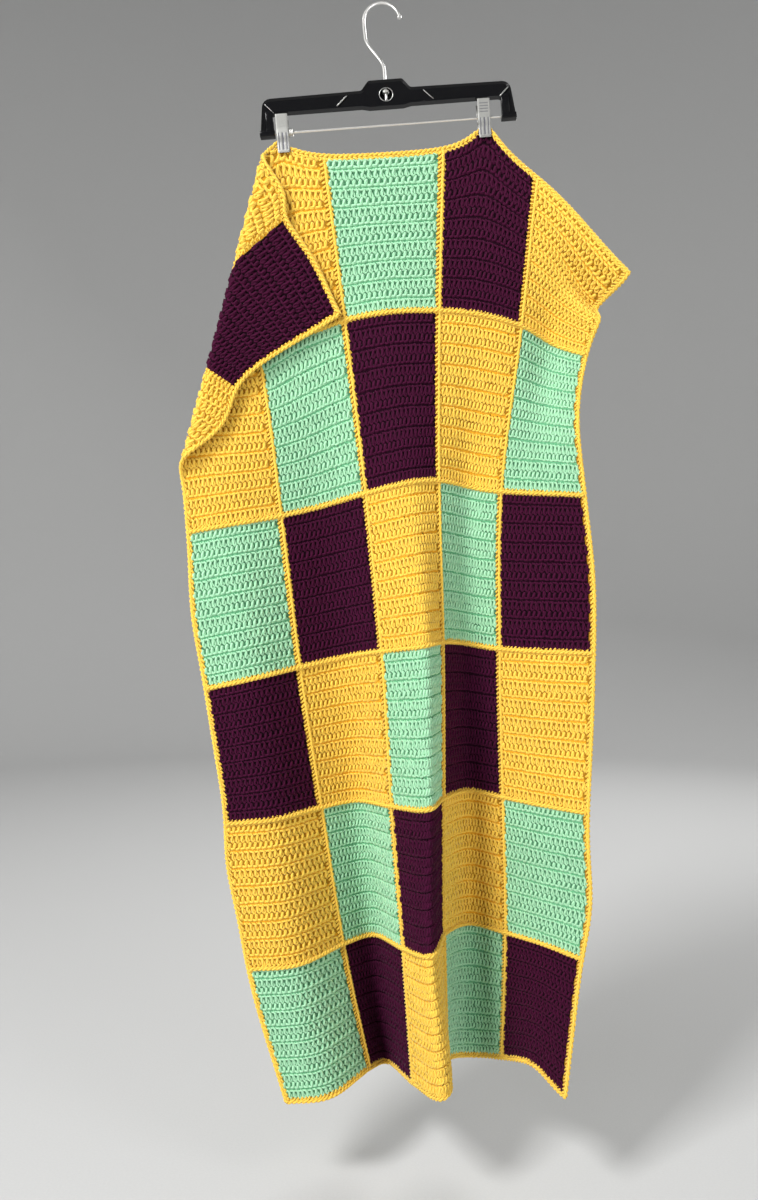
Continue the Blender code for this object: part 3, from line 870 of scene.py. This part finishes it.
@dataclass
class Clip:
    """Spring clip on the rod: two pressed jaws, two eyes round the rod, and a coil spring between them."""

    name: str
    at: float
    lever_grooves: float = 1.0
    groove_depth: float = 0.0003
    plate: float = 0.0012
    eye_outer: float = 0.0050
    eye_inner: float = 0.0019
    eye_plate: float = 0.0008
    coil_radius: float = 0.0033
    coil_wire: float = 0.0006
    coil_half: float = 0.0052
    coil_shift: float = 0.0
    coil_turns: int = 7
    coil_steps: int = 14
    eye_sides: int = 24
    soft_edge: float = 0.0002
    jaw_steps: tuple[int, int] = (65, 25)
    grooved: tuple[float, float] = (0.67, 0.72)
    rounded: float = 0.0005
    narrowed: float = 0.05

    # Heights where the grooves below the rod and those on the lever begin and end, and the latter's pitch
    BELOW = ((-0.0255, -0.0240), (-0.0030, -0.0010))
    LEVER = ((0.0035, 0.0045), (0.0180, 0.0190))
    LEVER_PITCH = 0.0036

    # Heights between which the jaw narrows to its foot
    FOOT = (-0.029, -0.024)

    # Jaw seen from its end: height from the rod and how far its inner face stands from the cloth's middle
    PROFILE = ((-0.0290, 0.0046), (-0.0262, 0.0027), (-0.0135, 0.0027), (-0.0070, 0.0054),
               (0.0040, 0.0058), (0.0220, 0.0094))

    def jaw(self, facing: int) -> Patch:
        """One pressed jaw: its end profile carried across the clip's width, with ribs and grooves.

        The outer face stands a plate's thickness off the profile, less upright grooves below the rod, one
        less half a cosine each, and level grooves on the lever above it, and is rounded down to both sides.

        Args:
            facing: -1 for the front jaw, 1 for the back one.

        Returns:
            The closed plate.
        """
        profile = np.array(self.PROFILE)
        height = np.linspace(profile[0, 0], profile[-1, 0], self.jaw_steps[0])
        stand = np.interp(height, profile[:, 0], profile[:, 1])
        stand = np.convolve(np.pad(stand, 2, "edge"), np.full(5, 0.2), "valid")
        across = np.linspace(-1, 1, self.jaw_steps[1])
        h, q = np.meshgrid(height, across, indexing="ij")
        below, above = (np.abs(q) < half for half in self.grooved)
        upright = (0.5 - 0.5 * np.cos(3 * math.pi * (q + 1))) * below
        level = (0.5 - 0.5 * np.cos(2 * math.pi * h / self.LEVER_PITCH)) ** 2 * above
        sunk = upright * band(h, *self.BELOW) + level * band(h, *self.LEVER) * self.lever_grooves
        rounding = self.rounded * np.abs(q) ** 8
        taper = 1 - self.narrowed * (1 - smooth_step(h, *self.FOOT))
        outer = stand[:, None] + self.plate - self.groove_depth * sunk - rounding
        x = self.at + q * CLIP_WIDTH / 2 * taper
        inner = np.broadcast_to(stand[:, None], x.shape)
        z = ROD_Z + h
        ring = np.concatenate([np.stack([x, facing * outer, z], -1),
                               np.stack([x, facing * inner, z], -1)[:, ::-1]], axis=1)
        points, faces, _ = loft(hang_level(ring), outward=facing < 0)
        # How deep each point is sunk, carried in the pattern coordinates for the painted shade in the grooves
        depth = np.concatenate([sunk, np.zeros(sunk.shape)], axis=1).ravel()
        return points, faces, [np.stack([depth[f], np.zeros(f.shape)], -1) for f in faces]

    def eye(self, at: float) -> Patch:
        """Flat ring round the rod at a place along it: a cross-section carried round a full turn."""
        angle = 2 * math.pi * np.arange(self.eye_sides + 1) / self.eye_sides
        soft, half = self.soft_edge, self.eye_plate / 2
        radius = np.array([self.eye_inner, self.eye_outer - soft, self.eye_outer, self.eye_outer,
                           self.eye_outer - soft, self.eye_inner])
        x = at + np.array([-half, -half, -half + soft, half - soft, half, half])
        ring = np.stack([np.broadcast_to(x, (len(angle), len(x))), np.cos(angle)[:, None] * radius,
                         ROD_Z + np.sin(angle)[:, None] * radius], -1)
        return loft(hang_level(ring), capped=False)

    def spring(self) -> Patch:
        """Coil spring: a wire on a helix round the rod."""
        turn = np.linspace(0, 2 * math.pi * self.coil_turns, self.coil_turns * self.coil_steps + 1)
        x = self.at + self.coil_shift + self.coil_half * (2 * turn / turn[-1] - 1)
        path = np.stack([x, self.coil_radius * np.cos(turn), ROD_Z + self.coil_radius * np.sin(turn)], -1)
        path = hang_level(path)[None]
        axis = np.broadcast_to(hang_level(np.array([1.0, 0.0, 0.0])), path.shape)
        return tubes(path, np.full(path.shape[:2], self.coil_wire), axis, sides=6)

    def build(self, steel: bpy.types.Material, spring_steel: bpy.types.Material) -> None:
        """Make the clip's pieces in place of its solids."""
        for word, facing in (("front", -1), ("back", 1)):
            jaw = add_piece(f"clip_{self.name}_{word}_jaw", self.jaw(facing), steel, "hanger")
            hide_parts(f"clip_{self.name}_{word}")
        reach = CLIP_WIDTH / 2 - self.eye_plate
        eyes = joined([self.eye(self.at + k * reach) for k in (-1, 1)])
        add_piece(f"clip_{self.name}_eyes", eyes, steel, "hanger")
        spring = add_piece(f"clip_{self.name}_coil", self.spring(), spring_steel, "hanger")
        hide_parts(f"clip_{self.name}_spring")


def loft(rings: Array, capped: bool = True, outward: bool = True) -> Patch:
    """Closed rings of points joined one to the next.

    Args:
        rings: Points shaped (rings, points, 3).
        capped: Whether the first and last ring are closed by a face.
        outward: Whether the faces as joined point out, else they are turned round.

    Returns:
        The skin.
    """
    steps, sides = rings.shape[:2]
    step, k = (g.ravel() for g in np.meshgrid(np.arange(steps - 1), np.arange(sides), indexing="ij"))
    following = (k + 1) % sides
    quads = np.stack([step * sides + k, step * sides + following, (step + 1) * sides + following,
                      (step + 1) * sides + k], -1)
    faces = [quads]
    if capped:
        ends = np.stack([np.arange(sides)[::-1], np.arange(sides) + (steps - 1) * sides])
        faces.append(ends)
    if not outward:
        faces = [f[:, ::-1] for f in faces]
    points = rings.reshape(-1, 3)
    return points, faces, [points[f][..., 0::2] for f in faces]


@dataclass
class Hanger:
    """Clip hanger: moulded beam, wire hook and rod as their solids, the beam's small forms, and two clips."""

    clips: tuple[Clip, ...] = (
        Clip("left", CLIP_AT["left"], lever_grooves=0.15, coil_radius=0.0045, coil_wire=0.0008,
             coil_shift=0.0092),
        Clip("right", CLIP_AT["right"]))
    face: float = -0.0048
    rim: float = -0.0054
    leg: tuple[float, float] = (0.1580, 0.1685)
    foot: tuple[float, float] = (0.1570, 0.1780)
    leg_top: float = -0.1385
    foot_top: float = -0.1648
    foot_bottom: float = -0.1725
    foot_half: float = 0.0060
    window_z: float = -0.1267
    window_radius: float = 0.0090
    window_sides: int = 40
    ring_out: float = 0.0003
    ring_back: float = 0.0012
    ring_radius: float = 0.0006
    button_out: float = 0.0006

    # Ends of the fine ribs on the beam's front, level hanger, in millimetres across and up, and their radius
    EDGES = ((-69.1, -138.2, -53.9, -124.6, 1.0), (51.4, -124.6, 64.8, -138.2, 0.7),
             (156.4, -141.4, 169.2, -129.3, 1.1), (-156.5, -141.4, -168.9, -127.7, 0.5))

    # Button behind the window: share of its radius, and metres behind the middle; pin: height and radius
    BUTTON = ((0.99, 0.0046), (1, 0.0047), (1, 0.0051), (0.97, 0.0054), (0.90, 0.0056))
    PIN = ((-0.1225, 0.0021), (-0.1285, 0.0021), (-0.1318, 0.0021), (-0.1330, 0.0027), (-0.1340, 0.0029))

    def edges(self) -> Patch:
        """Fine ribs on the beam's front, which carry painted highlights: a straight round bar for each pair
        of ends, sunk by half.
        """
        sizes = np.array(self.EDGES) * MM
        ends = sizes[:, :4].reshape(-1, 2, 2)
        share = np.linspace(0, 1, 7)[:, None]
        flat = ends[:, :1] * (1 - share) + ends[:, 1:] * share
        path = np.stack([flat[..., 0], np.full(flat.shape[:2], self.face), flat[..., 1]], -1)
        facing = np.broadcast_to(np.array([0.0, -1.0, 0.0]), path.shape)
        return tubes(hang_level(path), np.broadcast_to(sizes[:, 4:], path.shape[:2]), facing, sides=8)

    def block(self, low: tuple[float, float], high: tuple[float, float], half: float) -> Patch:
        """Upright bar with rounded edges: a rounded rectangle carried up, drawn in at both ends.

        Args:
            low: Lower corner, across and up, of the level hanger.
            high: Upper corner.
            half: Half its depth.

        Returns:
            The closed bar.
        """
        soft = 0.0008
        quarter = np.linspace(0, math.pi / 2, 4)
        turn = np.concatenate([quarter + k * math.pi / 2 for k in range(4)])
        signs = np.repeat([[1, 1], [-1, 1], [-1, -1], [1, -1]], 4, axis=0)
        size = np.array([(high[0] - low[0]) / 2, half])
        inset = np.array([soft, 0.3 * soft, 0, 0, 0.3 * soft, soft])[:, None, None]
        z = np.array([low[1], low[1] + 0.3 * soft, low[1] + soft,
                      high[1] - soft, high[1] - 0.3 * soft, high[1]])
        outline = signs * (size - soft) + soft * np.stack([np.cos(turn), np.sin(turn)], -1)
        plan = outline * (1 - inset / size)
        x = (low[0] + high[0]) / 2 + plan[..., 0]
        ring = np.stack([x, plan[..., 1], np.broadcast_to(z[:, None], x.shape)], -1)
        return loft(hang_level(ring), outward=False)

    def legs(self) -> Patch:
        """Inner half of each leg and the block at its foot."""
        parts = []
        for side in (-1, 1):
            for (near, far), bottom, top, half in (
                    (self.leg, self.foot_top - MM, self.leg_top, -self.rim),
                    (self.foot, self.foot_bottom, self.foot_top, self.foot_half)):
                ends = sorted((side * near, side * far))
                parts.append(self.block((ends[0], bottom), (ends[1], top), half))
        return joined(parts)

    def window_parts(self) -> tuple[Patch, Patch, Patch]:
        """Ring round the window's front edge, the button that closes it behind, and the stem's pin in it.

        Returns:
            A torus, a disc lofted through circles of changing radius, and a bar that widens at its foot.
        """
        turn = 2 * math.pi * np.arange(self.window_sides + 1) / self.window_sides
        circle = np.stack([np.cos(turn), np.zeros(turn.shape), np.sin(turn)], -1)
        middle = np.array([0, 0, self.window_z])
        path = (middle + circle * (self.window_radius + self.ring_out)
                + np.array([0, self.face + self.ring_back, 0]))
        facing = np.broadcast_to(np.array([0.0, -1.0, 0.0]), path.shape)
        ring = tubes(hang_level(path)[None], np.full((1, len(turn)), self.ring_radius), facing[None], sides=6,
                     closed=True)
        share, depth = np.array(self.BUTTON).T[..., None, None]
        wide = (self.window_radius + self.button_out) * share
        discs = middle + circle[:-1] * wide + depth * np.array([0.0, 1.0, 0.0])
        button = loft(hang_level(discs), outward=True)
        height, thick = np.array(self.PIN).T
        bar = hang_level(np.stack([np.zeros(len(height)), np.zeros(len(height)), height], -1))[None]
        pin = tubes(bar, thick[None], np.broadcast_to(np.array([0.0, -1.0, 0.0]), bar.shape), sides=14)
        return ring, button, pin

    def build(self) -> None:
        """Dress the solids that stay and build the clips."""
        plastic = PlasticFinish().material()
        wire = SteelFinish("zinc_wire", (0.90, 0.89, 0.86, 1.0), 0.36).material()
        # Lighter metal on the fine ribs and the window ring, painted highlights on the black moulding
        edges = PlasticFinish("painted_highlight_edges", (0.30, 0.30, 0.29, 1.0), 1.0, 0.24).material()
        pressed = SteelFinish("pressed_steel", (0.42, 0.42, 0.40, 1.0), 0.58).material()
        for node, material in (("hanger_beam", plastic), ("hook", wire), ("rod", wire)):
            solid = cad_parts[node]
            solid.data.materials.clear()
            solid.data.materials.append(material)
            LOG.info("%s: dressed", node)
        ring, button, pin = self.window_parts()
        add_piece("beam_edges", self.edges(), edges, "hanger")
        add_piece("beam_legs", self.legs(), plastic, "hanger")
        add_piece("window_ring", ring, edges, "hanger")
        add_piece("window_button", button, plastic, "hanger")
        add_piece("stem_pin", pin, wire, "hook")
        for clip in self.clips:
            clip.build(pressed, wire)


@dataclass(frozen=True)
class Lamp:
    """Square soft light: where it stands and points, its side in metres and its power in watts."""

    name: str
    place: tuple[float, float, float]
    aim: tuple[float, float, float]
    size: float
    power: float

    def build(self) -> None:
        """Add the light to the scene, turned to its aim."""
        data = bpy.data.lights.new(self.name, "AREA")
        data.size = self.size
        data.energy = self.power
        lamp = bpy.data.objects.new(self.name, data)
        x, y, z = np.array(self.aim) - np.array(self.place)
        lamp.location = self.place
        lamp.rotation_euler = (math.atan2(math.hypot(x, y), -z), 0, math.atan2(-x, y))
        bpy.context.scene.collection.objects.link(lamp)


@dataclass
class Studio:
    """Pale floor that sweeps up behind the blanket, soft lights, and the camera."""

    floor_z: float = -1.62
    bend: float = 1.5
    reach: float = 5.2
    top: float = 6.8
    sides: int = 96
    camera_distance: float = 1.35
    pixel: float = 0.001385
    picture: tuple[int, int] = (758, 1200)
    origin_pixel: tuple[float, float] = (379.0, 4.5)
    sky: float = 0.16

    LAMPS = (
        Lamp("key_light", (-2.2, -2.4, 2.2), (0, 0, -0.85), 1.1, 200),
        Lamp("fill_light", (1.8, -2.4, -1.3), (0.1, 0, -1.3), 1.4, 25),
        Lamp("low_light", (-2.0, -2.2, -0.6), (-0.1, 0, -1.3), 1.2, 38),
        Lamp("hook_light", (1.4, -1.3, 0.5), (0, 0, -0.08), 0.7, 9),
        Lamp("back_light", (1.6, 2.4, 1.4), (0, 0, -0.9), 1.8, 90),
    )

    def backdrop(self) -> None:
        """Round floor and wall as one bowl: a level run, a quarter circle and an upright one, all round."""
        bend, reach, top, sides = self.bend, self.reach, self.top, self.sides
        angle = np.linspace(0, math.pi / 2, 17)
        out = np.concatenate([[0.5], reach - bend + bend * np.sin(angle), [reach]])
        up = np.concatenate([[0], bend - bend * np.cos(angle), [top]]) + self.floor_z
        turn = 2 * math.pi * np.arange(sides) / sides
        rings = np.stack([out[:, None] * np.cos(turn), out[:, None] * np.sin(turn),
                          np.broadcast_to(up[:, None], (len(up), sides))], -1)
        points, faces, _ = loft(rings, capped=False, outward=False)
        mesh = bpy.data.meshes.new("pale_floor")
        mesh.from_pydata(points.tolist(), [], faces[0].tolist() + [list(range(sides))])
        mesh.shade_smooth()
        n = Nodes("pale_paper")
        place = n.add("TexCoord").outputs["Object"]
        grain = n.add("TexNoise", {"Vector": place, "Scale": 300.0, "Detail": 2.0})
        paper = n.mix(grain.outputs[0], (0.48, 0.48, 0.475, 1), (0.53, 0.53, 0.525, 1))
        n.feed(n.shader, {"Base Color": paper, "Roughness": 0.9, "Specular IOR Level": 0.1})
        mesh.materials.append(n.material)
        floor = bpy.data.objects.new("pale_floor", mesh)
        bpy.context.scene.collection.objects.link(floor)

    def camera(self) -> None:
        """Camera level with the middle of the photograph, looking straight at the blanket."""
        height = self.picture[1] * self.pixel
        data = bpy.data.cameras.new("camera")
        data.sensor_fit = "VERTICAL"
        data.sensor_height = 36.0
        data.lens = data.sensor_height * self.camera_distance / height
        camera = bpy.data.objects.new("camera", data)
        middle = -(self.picture[1] / 2 - self.origin_pixel[1]) * self.pixel
        camera.location = (0, -self.camera_distance, middle)
        camera.rotation_euler = (math.pi / 2, 0, 0)
        bpy.context.scene.collection.objects.link(camera)
        bpy.context.scene.camera = camera

    def build(self) -> None:
        """Set up floor, lights, sky and camera."""
        self.backdrop()
        for lamp in self.LAMPS:
            lamp.build()
        world = bpy.data.worlds.new("soft_sky")
        world.use_nodes = True
        background = world.node_tree.nodes["Background"]
        background.inputs[0].default_value = (0.95, 0.97, 1.0, 1.0)
        background.inputs[1].default_value = self.sky
        bpy.context.scene.world = world
        bpy.context.scene.view_settings.view_transform = "Standard"
        self.camera()


def main() -> None:
    """Build the blanket, the hanger and the studio."""
    logging.basicConfig(level=logging.INFO, format="%(name)s %(message)s")
    # Each yarn's own colour, then its darker colour painted as shade between the plies and deep between the
    # stitches
    yarns = {
        Wool.PURPLE: YarnFinish("purple_yarn", linear(70, 5, 46), linear(22, 1, 13), sheen=0.02),
        Wool.YELLOW: YarnFinish("yellow_yarn", linear(245, 210, 90), linear(212, 152, 38), sheen=0.15),
        Wool.MINT: YarnFinish("mint_yarn", linear(176, 222, 184), linear(104, 171, 127), sheen=0.15),
    }
    Blanket().build(yarns, GroundFinish())
    Hanger().build()
    Studio().build()


if __name__ == "__main__":
    main()
